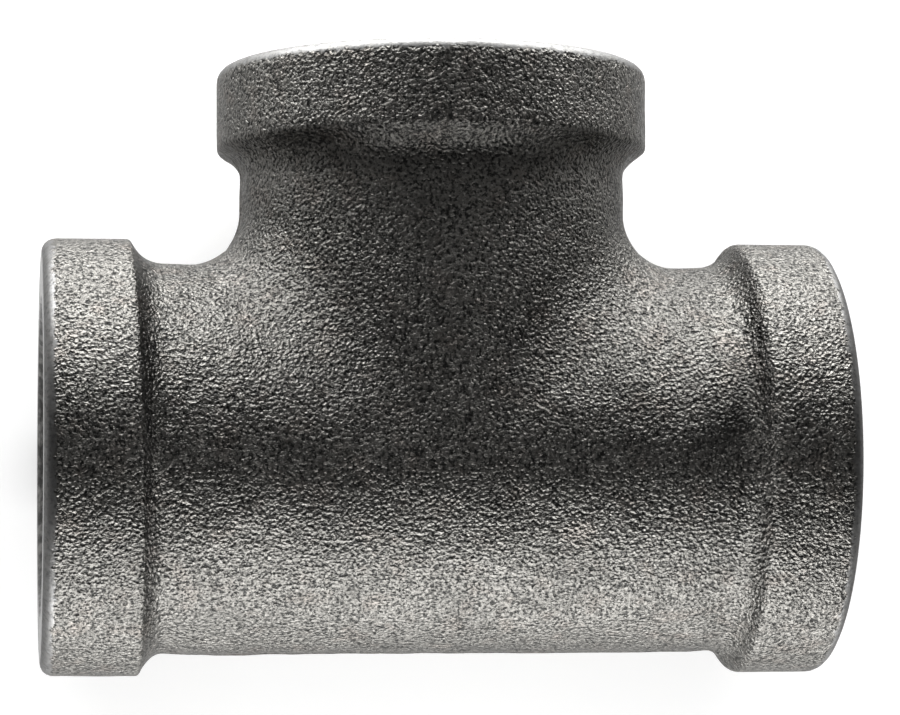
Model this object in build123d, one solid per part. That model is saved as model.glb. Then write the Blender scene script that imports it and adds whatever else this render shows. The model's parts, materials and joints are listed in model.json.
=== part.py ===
"""Malleable iron pipe tee, size 3/4: one casting with three female pipe threads.

Frame: the run lies along X and the branch points along +Y. Their axes cross at the
origin, and +Z is up, so the tee lies flat on the beads round its three ends.
Sizes are millimetres. The threads are left as plain bores at their crest diameter.
"""

import os
from math import radians, tan

from build123d import *

# --- Driving dimensions: class 150 malleable fitting, size 3/4 -------------------
centre_to_end = 33.3  # from the crossing of the axes to each end face
bead_diameter = 37.0  # the thick band round each end
run_bead_width = 7.8
branch_bead_width = 7.5
body_diameter = 32.94  # the barrel between the beads, alike on run and branch

# --- Cast edges ------------------------------------------------------------------
crotch_radius = 4.8  # outside, where the branch grows out of the run
rim_chamfer = 0.9  # outer edge of each end face
crest_chamfer = 0.35  # inner edge of each bead
shoulder_lean = 0.3  # how far the steep side of a bead leans, along the axis
foot_length = 1.4  # the easy slope from that side down to the barrel
foot_height = 0.85

# --- Waterway --------------------------------------------------------------------
thread_crest_diameter = 24.12  # 3/4 parallel pipe thread, 14 turns to the inch
thread_depth = 14.5  # from the end face to the end of the threaded wall
mouth_diameter = 27.2  # countersink at each end face, just over the thread's root
chamber_diameter = 26.9  # the cored space behind the threads
core_slope = 40  # degrees from the axis, where a bore opens into the chamber

body_radius = body_diameter / 2
bead_radius = bead_diameter / 2
bore_radius = thread_crest_diameter / 2
chamber_radius = chamber_diameter / 2
mouth_radius = mouth_diameter / 2


def bevel_corner(face, corner, leg):
    """Cuts the one corner of a flat face that lies at the point (x, y)."""
    found = face.vertices().sort_by_distance((corner[0], corner[1], 0))[0]
    return chamfer(found, leg)


def half_profile(*points):
    """The flat face inside an outline of points (x, radius) that closes on the X axis."""
    return make_face(Polyline(*points, close=True))


def turned(profile):
    """The solid that a half-profile sweeps as it turns about X."""
    return revolve(profile, Axis.X, 360)


def arm(bead_width):
    """One arm's outside, along +X: barrel, shoulder in two slopes, and bead."""
    bead_start = centre_to_end - bead_width
    knee = (bead_start - shoulder_lean, body_radius + foot_height)
    foot = (knee[0] - foot_length, body_radius)
    crest = (bead_start, bead_radius)
    rim = (centre_to_end, bead_radius)
    profile = half_profile((0, 0), (0, body_radius), foot, knee, crest, rim, (centre_to_end, 0))
    profile = bevel_corner(profile, crest, crest_chamfer)
    return turned(bevel_corner(profile, rim, rim_chamfer))


def arm_core():
    """The hollow of one arm, along +X: half the chamber, the bore and its mouth."""
    bore_end = centre_to_end - thread_depth
    chamber_end = bore_end - (chamber_radius - bore_radius) / tan(radians(core_slope))
    mouth_start = centre_to_end - (mouth_radius - bore_radius)  # a 45 degree countersink
    return turned(
        half_profile(
            (0, 0),
            (0, chamber_radius),
            (chamber_end, chamber_radius),
            (bore_end, bore_radius),
            (mouth_start, bore_radius),
            (centre_to_end, mouth_radius),
            (centre_to_end, 0),
        )
    )


def tee(run_arm, branch_arm):
    """Two run arms and a branch arm, joined at the origin."""
    return run_arm + mirror(run_arm, Plane.YZ) + Rot(0, 0, 90) * branch_arm


def rounded_crotch(solid):
    """Rounds the seam round the foot of the branch, where the two barrels meet."""
    seam = solid.edges().filter_by(GeomType.ELLIPSE)
    return fillet(seam.filter_by(lambda edge: edge.position_at(0.5).Y > 0), crotch_radius)


def tee_body():
    """The whole casting: the outside of the tee, less its waterway."""
    outside = rounded_crotch(tee(arm(run_bead_width), arm(branch_bead_width)))
    return outside - tee(arm_core(), arm_core())


os.makedirs("parts", exist_ok=True)
casting = tee_body()
casting.label = "tee_body"
export_step(casting, "parts/tee_body.step")
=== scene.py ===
"""Looks of the threaded pipe tee: a fully detailed mesh of the one casting, its
finishes, a white table, soft lights and the camera.

All lengths below are millimetres in the part's own frame (run along X, branch along
+Y, +Z up) unless a name says otherwise. What is placed in the scene is scaled by MM.
"""

import json
from math import hypot, pi, radians, sin, tan

import bmesh
import bpy
import numpy as np
from mathutils import Matrix, Vector, noise


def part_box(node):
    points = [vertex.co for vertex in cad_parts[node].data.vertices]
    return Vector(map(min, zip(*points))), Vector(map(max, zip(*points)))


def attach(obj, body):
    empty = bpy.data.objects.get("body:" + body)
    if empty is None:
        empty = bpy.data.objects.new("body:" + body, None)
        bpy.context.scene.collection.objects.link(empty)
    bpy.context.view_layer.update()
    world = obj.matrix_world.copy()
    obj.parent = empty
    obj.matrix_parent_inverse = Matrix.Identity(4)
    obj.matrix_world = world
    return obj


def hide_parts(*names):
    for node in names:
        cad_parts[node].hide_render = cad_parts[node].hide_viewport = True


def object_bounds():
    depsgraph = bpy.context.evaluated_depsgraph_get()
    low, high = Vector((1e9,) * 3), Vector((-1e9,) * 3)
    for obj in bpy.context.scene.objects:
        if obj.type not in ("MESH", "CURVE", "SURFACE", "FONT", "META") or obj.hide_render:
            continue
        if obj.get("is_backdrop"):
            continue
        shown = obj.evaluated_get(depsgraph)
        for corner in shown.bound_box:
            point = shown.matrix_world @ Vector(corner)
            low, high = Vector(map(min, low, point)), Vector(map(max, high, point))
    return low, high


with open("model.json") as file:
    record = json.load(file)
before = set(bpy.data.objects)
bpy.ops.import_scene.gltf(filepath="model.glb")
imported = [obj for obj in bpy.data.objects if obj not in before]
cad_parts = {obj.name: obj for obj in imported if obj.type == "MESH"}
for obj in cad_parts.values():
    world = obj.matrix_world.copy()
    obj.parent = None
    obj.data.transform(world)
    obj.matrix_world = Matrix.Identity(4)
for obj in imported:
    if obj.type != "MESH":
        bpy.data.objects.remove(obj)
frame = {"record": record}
cad_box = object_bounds()

MM = 0.001
NODE = "tee_body"

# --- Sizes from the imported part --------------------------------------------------
_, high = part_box(NODE)
END = high.x / MM  # from the crossing of the axes to each end face
BEAD_R = high.z / MM
MOUNTS = {mount["name"]: mount for mount in frame["record"]["mounts"]}
BORE_R = MOUNTS["branch_port"]["dims"]["r_mm"]

# --- Sizes of the casting's outside ----------------------------------------------
BODY_R = 16.4
CROTCH_R = 4.3  # radius of the blend between the barrels, at the sides
CROWN_R = 13.0  # the same at the top and bottom, where the barrels run together
RIM_R = 1.25
FOOT_R = 2.2
SHOULDER_LEAN = radians(27)
FACE_OUTER_R = BEAD_R - RIM_R
LAP = 0.01  # by which the ends of an outline reach past their arcs
# Bead width and radius of the crest of its shoulder: the beads came out uneven.
LEFT_BEAD = 7.8, 0.5
RIGHT_BEAD = 7.5, 0.9
BRANCH_BEAD = 7.2, 0.7

# --- Unevenness of the casting ---------------------------------------------------
BARREL_SHIFT = 0.2  # the run's barrel sits this far towards -Y of its beads
LEFT_BEAD_SLANT = 0.42  # the left bead is this much wider on -Y, narrower on +Y
WAVES = ((5.0, 0.10), (1.9, 0.05))  # length and height of the skin's waves
FADE = 1.2  # the waves die out over this distance before an end face
SEAM_HEIGHT, SEAM_WIDTH = 0.09, 0.45  # the ground-down parting line
# Each pair is where a fault begins to change and where it has done so.
SHIFT_ENDS = END - 13, END - 8  # of the barrel's shift, out along the run
SHIFT_BRANCH = 12, 20  # and up the branch
SLANT_BEGINS = END - 12, END - 8.5  # of the left bead's slant, out along the run
SLANT_ENDS = 2, 6  # and in from the end face
BEAD_SKIN = BODY_R + 0.6, BEAD_R - 0.2  # from the axis: skin that belongs to a bead

# --- Sizes of the waterway -------------------------------------------------------
MOUTH_R = 13.6
CHAMBER_R = 13.45
CHAMBER_CROTCH_R = 2.0
THREAD_END = 14.5  # depth of the threaded wall
CORE_SLOPE = radians(40)
PITCH = 25.4 / 14
THREAD_HEIGHT = 0.64 * PITCH
THREAD_FLAT = 0.05  # share of the height by which the crests stay clear of the bore
RUN_OUT = 1.2  # the grooves have died out this far past the threaded wall
FACE_INNER_R = MOUTH_R + 0.5  # a ring of the end face, just outside the mouth
CHAMBER_LIP = 0.2  # the last straight of the chamber's wall

# --- Mesh density: columns round an arm, rows along it ----------------------------
OUTER_COLUMNS = 240
INNER_COLUMNS = OUTER_COLUMNS // 2
BARREL_ROWS = 44
CROTCH_ROWS = 18
PROFILE_STEP = 0.42
THREAD_ROWS_PER_TURN = 8
CHAMBER_ROWS = 16
CHAMBER_CROTCH_ROWS = 4

WELD = 1e-3  # points closer than this are one
SPLINTER = 1e-4  # edges shorter than this go
PARALLEL = 1e-4  # an angle, in radians, below which two spokes count as one

CAST, MACHINED, THREAD, CORE = range(4)  # the mesh's material slots

# --- Finishes --------------------------------------------------------------------
GRAIN = 0.28  # size of the shot-blasted skin's grains
GRAIN_DEPTH = 0.21
TURNED_RIM = 0.95  # the last stretch of each bead was cleaned up with the end face
TOOL_PITCH = 0.24  # between the rings that the facing tool left
SKIN_ROUGHNESS = 0.35
EDGE_TINT = 0.5  # the scale on the skin holds back the glare at grazing angles
SKIN_COLOUR = (0.176, 0.171, 0.160)
BRONZED_COLOUR = (0.176, 0.161, 0.147)
# Dark of the pits: in the grains' pits it is partly painted shade. Also used for the dark
# patches, blotches and oily thread roots.
PIT_COLOUR = (0.03, 0.03, 0.029)
RUST_COLOUR = (0.20, 0.09, 0.06)
TURNED_COLOUR = (0.21, 0.21, 0.209)
THREAD_COLOUR = (0.30, 0.295, 0.285)
CORE_COLOUR = (0.11, 0.108, 0.103)
# Dark patches on the skin: centre, half-sizes along X, Y and Z, and how dark they are.
DARK_PATCHES = (
    ((22.7, 1.9, 16.6), (1.9, 2.3, 3.0), 0.8),
    ((20.0, 0.6, 16.3), (3.0, 1.6, 3.0), 0.45),
    ((23.3, 6.0, 15.5), (1.0, 3.5, 3.0), 0.5),
)
RUST_MARK = (-16.9, -16.5, 0.9), (1.6, 1.0, 0.35)
RUST_STRENGTH = 0.45

# --- Table, lights and camera ----------------------------------------------------
TABLE_WIDTH = 4000
TABLE_COLOUR = 0.8
TABLE_GLOW = 0.35  # lifts the table to white where it is seen, and no lamp is raised
ROOM_LIGHT = 0.09
# Lamps on the +Y and -Y sides: distance, low and high edge, length and the
# brightness on each side. The strips stand close and low, the panels further out.
LAMPS = (
    ("strip", 100, -17, 28, 180, (14.5, 10.3)),
    ("panel", 300, 30, 250, 700, (0.75, 0.6)),
)
CAMERA_AT = (-38.43, -15.66, 300.89)
CAMERA_AIM = (1.53, 8.58, 0)
CAMERA_ROLL = radians(-0.327)
LENS = 142.23
SENSOR = 36


# =================================================================================
# The mesh
# =================================================================================

class Shell:
    """One mesh, gathered from grids of points whose edges meet and are welded."""

    def __init__(self):
        self.points, self.faces, self.looks, self.total = [], [], [], 0

    def add(self, points, faces, look):
        self.points.append(points.reshape(-1, 3))
        self.faces.extend(tuple(int(i) + self.total for i in face) for face in faces)
        self.looks.extend([look] * len(faces))
        self.total += points.reshape(-1, 3).shape[0]

    def add_grid(self, points, look, closed=False):
        """Quads between the rows and columns of points; closed joins last to first column."""
        rows, columns = points.shape[:2]
        faces = []
        for row in range(rows - 1):
            for column in range(columns if closed else columns - 1):
                after = (column + 1) % columns
                faces.append((
                    row * columns + column, row * columns + after,
                    (row + 1) * columns + after, (row + 1) * columns + column,
                ))
        self.add(points, faces, look)

    def build(self, name):
        mesh = bpy.data.meshes.new(name)
        mesh.from_pydata(np.concatenate(self.points).tolist(), [], self.faces)
        mesh.polygons.foreach_set("material_index", self.looks)
        body = bmesh.new()
        body.from_mesh(mesh)
        bmesh.ops.remove_doubles(body, verts=body.verts, dist=WELD)
        bmesh.ops.dissolve_degenerate(body, dist=SPLINTER, edges=body.edges)
        bmesh.ops.recalc_face_normals(body, faces=body.faces)
        body.to_mesh(mesh)
        body.free()
        return mesh


def along_x(x, radius, turn):
    """Points at distance radius from the X axis; turn is measured from +Y."""
    return np.stack(np.broadcast_arrays(x, radius * np.cos(turn), radius * np.sin(turn)), -1)


def mirrored(points):
    return points * (-1, 1, 1)


def onto_branch(points):
    """Takes an arm that lies along +X to lie along +Y; what faced +Y then faces +X."""
    return points[..., [1, 0, 2]]


def rounded_outline(corners, radii, step):
    """Points (x, radius) along straight runs joined by arcs of the given radii."""
    outline = [corners[0]]
    for before, corner, after, radius in zip(corners, corners[1:], corners[2:], radii):
        here = Vector(corner)
        back, on = (Vector(before) - here).normalized(), (Vector(after) - here).normalized()
        half = back.angle(on) / 2
        reach = radius / tan(half)
        centre = here + (back + on).normalized() * (radius / sin(half))
        spoke = here + back * reach - centre
        sweep = (here + on * reach - centre).angle_signed(spoke)
        pieces = max(3, round(radius * abs(sweep) / step))
        for piece in range(pieces + 1):
            outline.append(tuple(centre + Matrix.Rotation(sweep * piece / pieces, 2) @ spoke))
    outline.append(corners[-1])
    fine = [outline[0]]
    for x, r in outline[1:]:
        run = hypot(x - fine[-1][0], r - fine[-1][1])
        pieces = max(1, round(run / step))
        x0, r0 = fine[-1]
        fine += [(x0 + (x - x0) * k / pieces, r0 + (r - r0) * k / pieces)
                 for k in range(1, pieces + 1)]
    return np.array(fine)


def bead_outline(bead_width, crest_radius):
    """From the foot of the shoulder, over the bead and its rim, to the end face."""
    bead_start = END - bead_width
    foot = bead_start - (BEAD_R - BODY_R) * tan(SHOULDER_LEAN)
    foot_start = foot - FOOT_R * tan((pi / 2 - SHOULDER_LEAN) / 2)
    corners = [
        (foot_start - LAP, BODY_R), (foot, BODY_R), (bead_start, BEAD_R),
        (END, BEAD_R), (END, FACE_OUTER_R - LAP),
    ]
    return rounded_outline(corners, (FOOT_R, crest_radius, RIM_R), PROFILE_STEP)


def blend_radius(side, crown, turn):
    """The blend between the barrels widens from the sides to the top and bottom."""
    return side + (crown - side) * np.sin(turn) ** 2


def crotch(radius, blend, turn, rows):
    """The rolled fillet between two like barrels that cross square. A ball of radius
    blend touches both; its centre follows a half ellipse in the plane x = y."""
    reach = radius + blend
    centre = np.stack([reach * np.cos(turn), reach * np.cos(turn), reach * np.sin(turn)], -1)
    to_run = -along_x(0, 1, turn)
    to_branch = onto_branch(to_run)
    between = np.arccos(np.clip((to_run * to_branch).sum(-1), -1, 1))
    share = np.linspace(0, 1, rows + 1)[:, None]
    merged = between < PARALLEL
    whole = np.where(merged, 1, np.sin(between))
    run_part = np.where(merged, 1 - share, np.sin((1 - share) * between) / whole)
    branch_part = np.where(merged, share, np.sin(share * between) / whole)
    spoke = run_part[..., None] * to_run + branch_part[..., None] * to_branch
    return centre + blend[..., None] * spoke


def add_tee_surface(shell, radius, blends, outlines, columns, barrel_rows, crotch_rows, look):
    """The barrels, crotch and ends of a tee. blends gives the blend's radius at the
    sides and at the crown; outlines gives the half-profiles of the right, left and
    branch arms beyond the barrel, as points (x, radius)."""
    turn = np.arange(columns) / columns * 2 * pi
    share = np.linspace(0, 1, barrel_rows + 1)[:, None]
    reach = radius + blend_radius(*blends, turn)
    for outline, place in zip(outlines, (np.copy, mirrored, onto_branch)):
        # A branch line starts at the blend on both sides; a run line only on +Y.
        facing = np.abs(np.cos(turn)) if place is onto_branch else np.cos(turn)
        start = np.maximum(reach * facing, 0)
        lines = along_x(start + (outline[0][0] - start) * share, radius, turn)
        ends = along_x(outline[:, :1], outline[:, 1:], turn)
        shell.add_grid(place(lines), look, closed=True)
        shell.add_grid(place(ends), look, closed=True)
    quarter = columns // 4
    facing_turn = np.arange(-quarter, quarter + 1) / columns * 2 * pi
    fillet = crotch(radius, blend_radius(*blends, facing_turn), facing_turn, crotch_rows)
    shell.add_grid(fillet, look)
    shell.add_grid(mirrored(fillet), look)


def thread_radius(depth, turn, hand):
    """Radius of the port's wall, with its helical thread, at a depth from the face.
    hand is -1 where the arm is a mirror copy, which keeps the thread right-handed."""
    phase = depth / PITCH + hand * turn / (2 * pi)
    rise = 0.5 + 0.5 * np.cos(2 * pi * phase)
    rise = np.maximum(rise, THREAD_FLAT)
    rise = rise * np.clip((THREAD_END + RUN_OUT - depth) / PITCH, 0, 1)
    wall = BORE_R + THREAD_HEIGHT * rise
    mouth = MOUTH_R - depth
    core = BORE_R + (depth - THREAD_END) * tan(CORE_SLOPE)
    return np.minimum(np.maximum(np.maximum(wall, mouth), core), MOUTH_R)


def add_port(shell, place, hand):
    """End face, countersunk mouth and thread of one arm, down to the chamber."""
    outer_turn = np.arange(OUTER_COLUMNS) / OUTER_COLUMNS * 2 * pi
    inner_turn = np.arange(INNER_COLUMNS) / INNER_COLUMNS * 2 * pi
    outer_ring = along_x(END, FACE_OUTER_R - LAP, outer_turn)
    inner_ring = along_x(END, FACE_INNER_R, inner_turn)
    faces = []
    for k in range(INNER_COLUMNS):
        a, b, c = 2 * k, 2 * k + 1, (2 * k + 2) % OUTER_COLUMNS
        here, after = OUTER_COLUMNS + k, OUTER_COLUMNS + (k + 1) % INNER_COLUMNS
        faces += [(a, b, here), (b, after, here), (b, c, after)]
    shell.add(place(np.concatenate([outer_ring, inner_ring])), faces, MACHINED)
    mouth_edge = along_x(END, np.array([[FACE_INNER_R], [MOUTH_R]]), inner_turn)
    shell.add_grid(place(mouth_edge), MACHINED, closed=True)
    last = THREAD_END + (CHAMBER_R - BORE_R) / tan(CORE_SLOPE)
    rows = round(last / PITCH * THREAD_ROWS_PER_TURN)
    depth = np.linspace(0, last, rows + 1)[:, None]
    radius = thread_radius(depth, inner_turn[None, :], hand)
    radius[0], radius[-1] = MOUTH_R, CHAMBER_R
    shell.add_grid(place(along_x(END - depth, radius, inner_turn)), THREAD, closed=True)


def chamber_outline():
    chamber_end = END - THREAD_END - (CHAMBER_R - BORE_R) / tan(CORE_SLOPE)
    return np.array([(chamber_end - CHAMBER_LIP, CHAMBER_R), (chamber_end, CHAMBER_R)])


def tee_mesh():
    shell = Shell()
    beads = [bead_outline(*bead) for bead in (RIGHT_BEAD, LEFT_BEAD, BRANCH_BEAD)]
    add_tee_surface(shell, BODY_R, (CROTCH_R, CROWN_R), beads,
                    OUTER_COLUMNS, BARREL_ROWS, CROTCH_ROWS, CAST)
    for place, hand in ((np.copy, 1), (mirrored, -1), (onto_branch, -1)):
        add_port(shell, place, hand)
    add_tee_surface(shell, CHAMBER_R, (CHAMBER_CROTCH_R,) * 2, [chamber_outline()] * 3,
                    INNER_COLUMNS, CHAMBER_ROWS, CHAMBER_CROTCH_ROWS, CORE)
    return shell.build("tee_casting")


# =================================================================================
# Unevenness
# =================================================================================

def ramp(value, low, high):
    """0 below low, 1 above high, smooth between."""
    share = min(max((value - low) / (high - low), 0), 1)
    return share * share * (3 - 2 * share)


def uneven(point, normal):
    """Where a point of the cast skin lies once the casting's faults are in."""
    x, y, z = point
    from_end = END - max(abs(x), y)
    loose = ramp(from_end, 0, FADE)
    moved = Vector(point)
    on_barrel = 1 - ramp(abs(x), *SHIFT_ENDS)
    moved.y -= BARREL_SHIFT * on_barrel * (1 - ramp(y, *SHIFT_BRANCH))
    if x < 0:
        near_shoulder = ramp(-x, *SLANT_BEGINS) * ramp(from_end, *SLANT_ENDS)
        moved.x += LEFT_BEAD_SLANT * near_shoulder * -y / BEAD_R
    rise = sum(height * noise.noise(Vector(point) / length) for length, height in WAVES)
    # On the beads the waves only go inward, so the size over the beads stays.
    reach = hypot(y, z) if abs(x) > y else hypot(x, z)
    on_bead = ramp(reach, *BEAD_SKIN)
    rise -= on_bead * (sum(height for _, height in WAVES) / 2 + max(rise, 0))
    seam = SEAM_HEIGHT * (1 - ramp(abs(z), 0, SEAM_WIDTH)) * (1 - on_bead)
    return moved + normal * (rise + seam) * loose


def roughen(mesh):
    """Moves the points of the cast skin, outside only."""
    cast_faces = [face for face in mesh.polygons if face.material_index == CAST]
    outside = {i for face in cast_faces for i in face.vertices}
    targets = {i: uneven(mesh.vertices[i].co, mesh.vertices[i].normal) for i in outside}
    for i, target in targets.items():
        mesh.vertices[i].co = target


def casting():
    mesh = tee_mesh()
    roughen(mesh)
    mesh.transform(Matrix.Scale(MM, 4))
    mesh.shade_smooth()
    piece = bpy.data.objects.new("tee_casting", mesh)
    bpy.context.collection.objects.link(piece)
    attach(piece, "root")
    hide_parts(NODE)
    return piece


# =================================================================================
# Finishes
# =================================================================================

class Shader:
    """A material's node tree, with short ways to add and join nodes. Lengths are in
    millimetres."""

    def __init__(self, name):
        self.material = bpy.data.materials.new(name)
        self.material.use_nodes = True
        self.nodes = self.material.node_tree.nodes
        self.links = self.material.node_tree.links
        self.surface = self.nodes["Principled BSDF"]
        coordinates = self.nodes.new("ShaderNodeTexCoord").outputs["Object"]
        self.place = self.vector("MULTIPLY", coordinates, (1 / MM,) * 3)
        split = self.nodes.new("ShaderNodeSeparateXYZ")
        self.links.new(self.place, split.inputs[0])
        self.x, self.y, self.z = split.outputs

    def set(self, socket, value):
        if isinstance(value, bpy.types.NodeSocket):
            self.links.new(value, socket)
        else:
            socket.default_value = value

    def vector(self, operation, *values):
        node = self.nodes.new("ShaderNodeVectorMath")
        node.operation = operation
        for socket, value in zip(node.inputs, values):
            self.set(socket, value)
        return node.outputs["Value" if operation == "LENGTH" else "Vector"]

    def maths(self, operation, *values):
        node = self.nodes.new("ShaderNodeMath")
        node.operation = operation
        for socket, value in zip(node.inputs, values):
            self.set(socket, value)
        return node.outputs[0]

    def noise(self, size, detail=2.0, rough=0.5):
        """Noise with features about size across, from 0 to 1."""
        node = self.nodes.new("ShaderNodeTexNoise")
        self.set(node.inputs["Vector"], self.place)
        self.set(node.inputs["Scale"], 1 / size)
        self.set(node.inputs["Detail"], detail)
        self.set(node.inputs["Roughness"], rough)
        return node.outputs["Fac"]

    def cells(self, size):
        """0 in the middle of each cell, rising to its borders."""
        node = self.nodes.new("ShaderNodeTexVoronoi")
        self.set(node.inputs["Vector"], self.place)
        self.set(node.inputs["Scale"], 1 / size)
        return node.outputs["Distance"]

    def ramp(self, value, low, high, low_out=0.0, high_out=1.0):
        node = self.nodes.new("ShaderNodeMapRange")
        node.interpolation_type = "SMOOTHSTEP"
        for socket, number in zip(node.inputs, (value, low, high, low_out, high_out)):
            self.set(socket, number)
        return node.outputs[0]

    def mix(self, share, low, high):
        node = self.nodes.new("ShaderNodeMix")
        node.data_type = "RGBA"
        sockets = [socket for socket in node.inputs if socket.type == "RGBA"]
        self.set(node.inputs["Factor"], share)
        for socket, colour in zip(sockets, (low, high)):
            self.set(socket, (*colour, 1) if isinstance(colour, tuple) else colour)
        return next(socket for socket in node.outputs if socket.type == "RGBA")

    def mix_normals(self, share, low, high):
        node = self.nodes.new("ShaderNodeMix")
        node.data_type = "VECTOR"
        self.set(node.inputs["Factor"], share)
        *_, first, second = [socket for socket in node.inputs if socket.type == "VECTOR"]
        self.set(first, low)
        self.set(second, high)
        return next(socket for socket in node.outputs if socket.type == "VECTOR")

    def bump(self, height, depth, under=None):
        """Tilts the surface as a relief of the given height times depth."""
        node = self.nodes.new("ShaderNodeBump")
        self.set(node.inputs["Strength"], 1.0)
        self.set(node.inputs["Distance"], depth * MM)
        self.set(node.inputs["Height"], height)
        if under:
            self.set(node.inputs["Normal"], under)
        return node.outputs["Normal"]

    def spot(self, centre, half_sizes):
        """1 in the middle of an ellipsoid, fading to 0 at its surface."""
        off = self.vector("DIVIDE", self.vector("SUBTRACT", self.place, centre), half_sizes)
        return self.ramp(self.vector("LENGTH", off), 0.25, 1.0, 1.0, 0.0)

    def along_arm(self):
        """Distance from the crossing of the axes to a point, along its own arm."""
        return self.maths("MAXIMUM", self.maths("ABSOLUTE", self.x), self.y)

    def off_axis(self):
        """Distance of a point from the axis of its own arm."""
        on_run = self.maths("GREATER_THAN", self.maths("ABSOLUTE", self.x), self.y)
        across = self.maths("ADD", self.maths("MULTIPLY", on_run, self.y),
                          self.maths("MULTIPLY", self.maths("SUBTRACT", 1.0, on_run), self.x))
        squares = self.maths("ADD", self.maths("POWER", self.maths("ABSOLUTE", across), 2.0),
                           self.maths("POWER", self.maths("ABSOLUTE", self.z), 2.0))
        return self.maths("SQRT", squares)

    def finish(self, **values):
        for name, value in values.items():
            self.set(self.surface.inputs[name.replace("_", " ")], value)
        return self.material


def grain(shader, size, depth):
    """The relief of a shot-blasted skin: fine grains and overlapping dimples over
    slow waves. Returns its normal and the grains' height."""
    fine = shader.noise(size, 2.0, 0.6)
    dimples = shader.maths("MULTIPLY", shader.cells(size * 1.15), 0.5)
    waves = shader.bump(shader.noise(1.5, 1.0), 0.1)
    return shader.bump(shader.maths("ADD", fine, dimples), depth, waves), fine


def cast_iron():
    """Black scale over shot-blasted iron, with a cleaned-up rim at each end."""
    s = Shader("cast_iron_skin")
    normal, fine = grain(s, GRAIN, GRAIN_DEPTH)
    bronzed = s.ramp(s.noise(2.6, 3.0), 0.5, 0.72, 0.0, 0.75)
    skin = s.mix(bronzed, SKIN_COLOUR, BRONZED_COLOUR)
    # Darker in the grains' pits: partly their own darker tone, partly painted shade in the
    # crevices.
    skin = s.mix(s.ramp(fine, 0.36, 0.56), PIT_COLOUR, skin)
    skin = s.mix(s.ramp(s.noise(6.0, 2.0), 0.35, 0.7, 0.0, 0.16), skin, PIT_COLOUR)
    # Darkens the skin's colour in a few patches.
    for centre, half_sizes, strength in DARK_PATCHES:
        patchy = s.ramp(s.noise(0.9, 2.0), 0.3, 0.6, 0.6, 1.0)
        reach = s.maths("MULTIPLY", s.spot(centre, half_sizes), patchy)
        share = s.maths("MULTIPLY", reach, strength)
        skin = s.mix(share, skin, PIT_COLOUR)
    skin = s.mix(s.maths("MULTIPLY", s.spot(*RUST_MARK), RUST_STRENGTH), skin, RUST_COLOUR)
    ragged = s.maths("MULTIPLY", s.maths("SUBTRACT", s.noise(0.7, 2.0), 0.5), 1.1)
    inside = s.maths("ADD", s.along_arm(), ragged)
    turned = s.ramp(inside, END - TURNED_RIM - 0.1, END - TURNED_RIM + 0.25)
    worn = s.ramp(s.noise(0.45, 3.0), 0.3, 0.75, 0.45, 1.0)
    colour = s.mix(s.maths("MULTIPLY", turned, worn), skin, TURNED_COLOUR)
    rough = s.ramp(s.noise(0.8, 2.0), 0.3, 0.7, SKIN_ROUGHNESS - 0.05, SKIN_ROUGHNESS + 0.07)
    rough = s.maths("ADD", rough, s.maths("MULTIPLY", turned, 0.14))
    flat = s.bump(s.noise(0.5, 3.0), 0.03)
    return s.finish(
        Base_Color=colour, Metallic=1.0, Roughness=rough,
        Normal=s.mix_normals(turned, normal, flat),
        Specular_Tint=(EDGE_TINT, EDGE_TINT, EDGE_TINT, 1),
    )


def turned_face():
    """A faced end: rings from the tool, with a little scale and handling marks."""
    s = Shader("turned_face")
    rings = s.maths("SINE", s.maths("MULTIPLY", s.off_axis(), 2 * pi / TOOL_PITCH))
    marks = s.bump(rings, 0.012, s.bump(s.noise(0.5, 3.0), 0.03))
    dull = s.ramp(s.noise(1.8, 4.0, 0.6), 0.4, 0.75, 0.0, 0.7)
    colour = s.mix(dull, TURNED_COLOUR, SKIN_COLOUR)
    rough = s.ramp(s.noise(0.6, 3.0), 0.3, 0.7, 0.3, 0.46)
    return s.finish(Base_Color=colour, Metallic=1.0, Roughness=rough, Normal=marks)


def cut_thread():
    """Cut metal, darker at the roots where oil and chips stay."""
    s = Shader("cut_thread")
    depth = s.ramp(s.off_axis(), BORE_R, BORE_R + THREAD_HEIGHT)
    oily = s.maths("MULTIPLY", depth, s.ramp(s.noise(0.9, 3.0), 0.3, 0.6, 0.4, 0.9))
    colour = s.mix(oily, THREAD_COLOUR, PIT_COLOUR)
    torn = s.bump(s.noise(0.22, 3.0, 0.6), 0.035)
    rough = s.ramp(s.noise(0.5, 3.0), 0.3, 0.7, 0.28, 0.45)
    return s.finish(Base_Color=colour, Metallic=1.0, Roughness=rough, Normal=torn)


def sand_core():
    """The chamber's skin, as the sand core left it."""
    s = Shader("sand_core_skin")
    normal, fine = grain(s, 0.5, 0.3)
    # Darker in the grains' pits: partly their own darker tone, partly painted shade in the
    # crevices.
    colour = s.mix(s.ramp(fine, 0.35, 0.6), PIT_COLOUR, CORE_COLOUR)
    colour = s.mix(s.ramp(s.noise(3.0, 3.0), 0.55, 0.75, 0.0, 0.5), colour, RUST_COLOUR)
    return s.finish(Base_Color=colour, Metallic=1.0, Roughness=0.55, Normal=normal)


# =================================================================================
# Table, lights and camera
# =================================================================================

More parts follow.
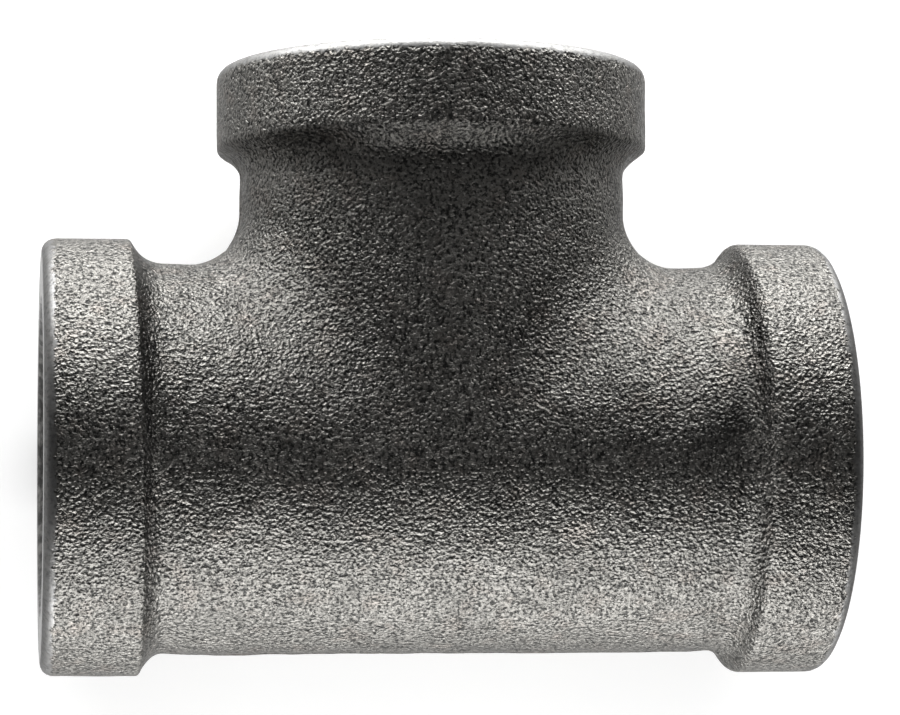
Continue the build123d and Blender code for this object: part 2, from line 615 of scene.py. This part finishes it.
def white_table():
    """Matt white that keeps shadows. Its glow is only what the camera, mirrors and
    glass see, so it lights nothing else."""
    s = Shader("white_table")
    path = s.nodes.new("ShaderNodeLightPath")
    seen = s.maths("MAXIMUM", path.outputs["Is Camera Ray"], path.outputs["Is Glossy Ray"])
    seen = s.maths("MAXIMUM", seen, path.outputs["Is Transmission Ray"])
    grey = s.ramp(s.noise(40.0, 3.0), 0.3, 0.7, TABLE_COLOUR - 0.01, TABLE_COLOUR + 0.01)
    return s.finish(
        Base_Color=grey, Roughness=1.0, Specular_IOR_Level=0.0,
        Emission_Color=(1, 1, 1, 1), Emission_Strength=s.maths("MULTIPLY", seen, TABLE_GLOW),
    )


def table():
    bpy.ops.mesh.primitive_plane_add(size=TABLE_WIDTH * MM, location=(0, 0, -BEAD_R * MM))
    floor = bpy.context.object
    floor.name = "table"
    floor.data.materials.append(white_table())
    floor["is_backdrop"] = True


def lamp(name, side, distance, low, high, length, brightness):
    """An upright soft box that faces the part from +Y (side 1) or -Y (side -1)."""
    light = bpy.data.lights.new(name, "AREA")
    light.shape = "RECTANGLE"
    light.size, light.size_y = length * MM, (high - low) * MM
    light.energy = brightness * pi * light.size * light.size_y
    box = bpy.data.objects.new(name, light)
    bpy.context.collection.objects.link(box)
    box.location = Vector((0, side * distance, (low + high) / 2)) * MM
    box.rotation_euler = (-side * pi / 2, 0, 0)


def room():
    world = bpy.data.worlds.new("room")
    world.use_nodes = True
    world.node_tree.nodes["Background"].inputs["Strength"].default_value = ROOM_LIGHT
    world.node_tree.nodes["Background"].inputs["Color"].default_value = (1, 1, 1, 1)
    bpy.context.scene.world = world


def camera():
    lens = bpy.data.cameras.new("camera")
    lens.lens = LENS
    lens.sensor_width = SENSOR
    lens.clip_start, lens.clip_end = 10 * MM, 10000 * MM
    view = bpy.data.objects.new("camera", lens)
    bpy.context.collection.objects.link(view)
    view.location = Vector(CAMERA_AT) * MM
    backward = (Vector(CAMERA_AT) - Vector(CAMERA_AIM)).normalized()
    right = Vector((0, 1, 0)).cross(backward).normalized()
    level = Matrix((right, backward.cross(right), backward)).transposed()
    view.rotation_euler = (level @ Matrix.Rotation(CAMERA_ROLL, 3, "Z")).to_euler()
    bpy.context.scene.camera = view


tee = casting()
for make in (cast_iron, turned_face, cut_thread, sand_core):
    tee.data.materials.append(make())
table()
for name, distance, low, high, length, levels in LAMPS:
    for word, side, brightness in zip(("back", "front"), (1, -1), levels):
        lamp(name + "_" + word, side, distance, low, high, length, brightness)
room()
camera()
bpy.context.scene.view_settings.view_transform = "Standard"

sizes = {"cad": cad_box, "visual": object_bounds()}
{name: [list(corner) for corner in box] for name, box in sizes.items()}
